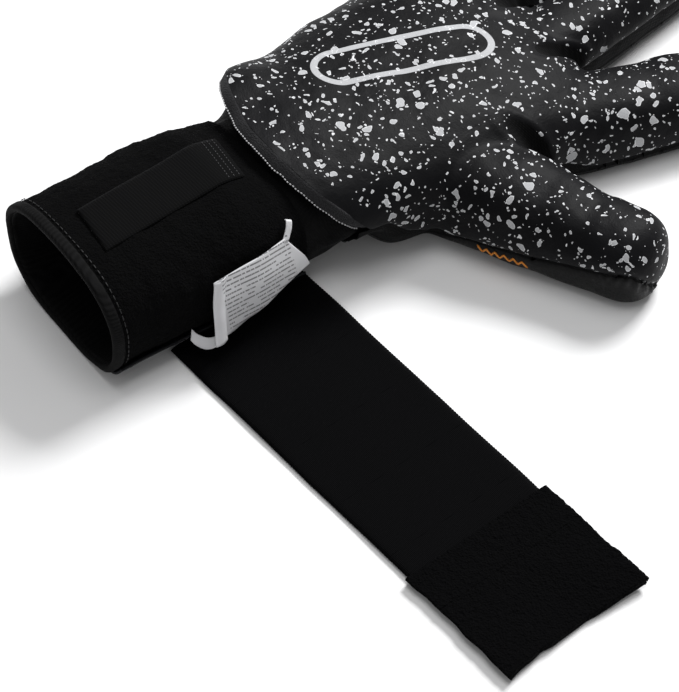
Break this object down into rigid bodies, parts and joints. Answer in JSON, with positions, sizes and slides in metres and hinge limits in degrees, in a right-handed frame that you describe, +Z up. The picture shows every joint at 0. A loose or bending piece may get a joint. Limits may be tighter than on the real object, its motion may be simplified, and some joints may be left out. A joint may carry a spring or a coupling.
{
  "type": "goalkeeper glove",
  "caption": "Left goalkeeper glove lying palm down: speckled foam back, latex palm, hollow digits that curl, soft cuff and a wrist strap laid open that wraps round it.",
  "frame": {"origin": "middle of the palm's flat rest face, under the hand", "axes": "+Z up out of the back of the hand, +Y towards the fingertips, +X towards the thumb"},
  "size_m": [0.302, 0.2939, 0.0492],
  "materials": {
    "speckled_foam": "smooth charcoal foam with silver grey splatter print, soft sheen",
    "side_textile": "matte black knitted textile",
    "palm_latex": "smooth black latex foam, slightly grippy, low sheen",
    "loop_fabric": "brushed black loop fabric with short pile",
    "stretch_fabric": "smooth black stretch knit with a bluish sheen",
    "lining_fabric": "soft black tricot lining",
    "band_fabric": "flat black woven band",
    "ribbed_elastic": "black elastic webbing with fine cross ribs",
    "hook_fabric": "dense black hook-and-loop patch",
    "label_satin": null
  },
  "bodies": {
    "hand": {"backhand_foam": "speckled_foam", "side_gusset": "side_textile", "palm_latex": "palm_latex", "thumb_web": "side_textile", "index_middle_web": "side_textile", "middle_ring_web": "side_textile", "ring_little_web": "side_textile"},
    "cuff": {"cuff_loop_panel": "loop_fabric", "cuff_stretch_panel": "stretch_fabric", "cuff_lining": "lining_fabric", "cuff_hem": "stretch_fabric", "pull_band": "band_fabric", "strap_root": "ribbed_elastic"},
    "index_base": {"index_base_palm": "palm_latex", "index_base_gusset": "side_textile", "index_base_back": "speckled_foam"},
    "index_tip": {"index_tip_palm": "palm_latex", "index_tip_gusset": "side_textile", "index_tip_back": "speckled_foam"},
    "middle_base": {"middle_base_palm": "palm_latex", "middle_base_gusset": "side_textile", "middle_base_back": "speckled_foam"},
    "middle_tip": {"middle_tip_palm": "palm_latex", "middle_tip_gusset": "side_textile", "middle_tip_back": "speckled_foam"},
    "ring_base": {"ring_base_palm": "palm_latex", "ring_base_gusset": "side_textile", "ring_base_back": "speckled_foam"},
    "ring_tip": {"ring_tip_palm": "palm_latex", "ring_tip_gusset": "side_textile", "ring_tip_back": "speckled_foam"},
    "little_base": {"little_base_palm": "palm_latex", "little_base_gusset": "side_textile", "little_base_back": "speckled_foam"},
    "little_tip": {"little_tip_palm": "palm_latex", "little_tip_gusset": "side_textile", "little_tip_back": "speckled_foam"},
    "thumb_base": {"thumb_base_palm": "palm_latex", "thumb_base_gusset": "side_textile", "thumb_base_back": "speckled_foam"},
    "thumb_tip": {"thumb_tip_palm": "palm_latex", "thumb_tip_gusset": "side_textile", "thumb_tip_back": "speckled_foam"},
    "strap_panel_1": {"strap_elastic_1": "ribbed_elastic"},
    "strap_panel_2": {"strap_elastic_2": "ribbed_elastic"},
    "strap_panel_3": {"strap_elastic_3": "ribbed_elastic"},
    "strap_panel_4": {"strap_elastic_4": "ribbed_elastic"},
    "tab_panel_1": {"tab_backing_1": "band_fabric", "tab_hook_patch_1": "hook_fabric"},
    "tab_panel_2": {"tab_backing_2": "band_fabric", "tab_hook_patch_2": "hook_fabric"},
    "label": {"care_label": "label_satin"}
  },
  "joints": [
    {"name": "wrist_flex", "type": "hinge", "parent": "hand", "child": "cuff", "pos_m": [0, -0.05, 0.023], "axis": [1, 0, 0], "range_deg": [-10, 30]},
    {"name": "index_curl", "type": "hinge", "parent": "hand", "child": "index_base", "pos_m": [0.03864, 0.06442, 0.007], "axis": [-0.9613, 0.2756, 0], "range_deg": [0, 60]},
    {"name": "index_bend", "type": "hinge", "parent": "index_base", "child": "index_tip", "pos_m": [0.04773, 0.09614, 0.007], "axis": [-0.9613, 0.2756, 0], "range_deg": [0, 60.01]},
    {"name": "middle_curl", "type": "hinge", "parent": "hand", "child": "middle_base", "pos_m": [-0.00151, 0.07982, 0.007], "axis": [-0.9903, -0.1392, 0], "range_deg": [0, 60]},
    {"name": "middle_bend", "type": "hinge", "parent": "middle_base", "child": "middle_tip", "pos_m": [-0.00596, 0.11151, 0.007], "axis": [-0.9903, -0.1392, 0], "range_deg": [0, 60.01]},
    {"name": "ring_curl", "type": "hinge", "parent": "hand", "child": "ring_base", "pos_m": [-0.0337, 0.07623, 0.007], "axis": [-0.9563, -0.2924, 0], "range_deg": [0, 60]},
    {"name": "ring_bend", "type": "hinge", "parent": "ring_base", "child": "ring_tip", "pos_m": [-0.04276, 0.10588, 0.007], "axis": [-0.9563, -0.2924, 0], "range_deg": [0, 60.01]},
    {"name": "little_curl", "type": "hinge", "parent": "hand", "child": "little_base", "pos_m": [-0.06046, 0.06529, 0.007], "axis": [-0.8988, -0.4384, 0], "range_deg": [0, 60]},
    {"name": "little_bend", "type": "hinge", "parent": "little_base", "child": "little_tip", "pos_m": [-0.07186, 0.08865, 0.007], "axis": [-0.8988, -0.4384, 0], "range_deg": [0, 60.01]},
    {"name": "thumb_curl", "type": "hinge", "parent": "hand", "child": "thumb_base", "pos_m": [0.06286, 0.01155, 0.007], "axis": [-0.4478, 0.8942, 0], "range_deg": [0, 60]},
    {"name": "thumb_bend", "type": "hinge", "parent": "thumb_base", "child": "thumb_tip", "pos_m": [0.08253, 0.0214, 0.007], "axis": [-0.4478, 0.8942, 0], "range_deg": [0, 60.01]},
    {"name": "strap_wrap", "type": "hinge", "parent": "cuff", "child": "strap_panel_1", "pos_m": [0.048, -0.09119, 0.0026], "axis": [0.0732, -0.9973, 0], "range_deg": [0, 95]},
    {"name": "strap_bend_1", "type": "hinge", "parent": "strap_panel_1", "child": "strap_panel_2", "pos_m": [0.07593, -0.08914, 0.0026], "axis": [0.0732, -0.9973, 0], "range_deg": [0, 43.01]},
    {"name": "strap_bend_2", "type": "hinge", "parent": "strap_panel_2", "child": "strap_panel_3", "pos_m": [0.10385, -0.08709, 0.0026], "axis": [0.0732, -0.9973, 0], "range_deg": [0, 34.01]},
    {"name": "strap_bend_3", "type": "hinge", "parent": "strap_panel_3", "child": "strap_panel_4", "pos_m": [0.13177, -0.08504, 0.0026], "axis": [0.0732, -0.9973, 0], "range_deg": [0, 23.01]},
    {"name": "strap_bend_4", "type": "hinge", "parent": "strap_panel_4", "child": "tab_panel_1", "pos_m": [0.1597, -0.08299, 0.0045], "axis": [0.0732, -0.9973, 0], "range_deg": [0, 39.01]},
    {"name": "strap_bend_5", "type": "hinge", "parent": "tab_panel_1", "child": "tab_panel_2", "pos_m": [0.18413, -0.0812, 0.0045], "axis": [0.0732, -0.9973, 0], "range_deg": [0, 71.01]},
    {"name": "label_flap", "type": "hinge", "parent": "cuff", "child": "label", "pos_m": [0.0405, -0.0905, 0.012], "axis": [0.0963, -0.9858, -0.1376], "range_deg": [-60, 4]}
  ],
  "couplings": [
    {"joint": "index_bend", "follows": "index_curl", "ratio": 1},
    {"joint": "middle_bend", "follows": "middle_curl", "ratio": 1},
    {"joint": "ring_bend", "follows": "ring_curl", "ratio": 1},
    {"joint": "little_bend", "follows": "little_curl", "ratio": 1},
    {"joint": "thumb_bend", "follows": "thumb_curl", "ratio": 1},
    {"joint": "strap_bend_1", "follows": "strap_wrap", "ratio": 0.45263},
    {"joint": "strap_bend_2", "follows": "strap_wrap", "ratio": 0.3579},
    {"joint": "strap_bend_3", "follows": "strap_wrap", "ratio": 0.2421},
    {"joint": "strap_bend_4", "follows": "strap_wrap", "ratio": 0.41053},
    {"joint": "strap_bend_5", "follows": "strap_wrap", "ratio": 0.74737}
  ]
}
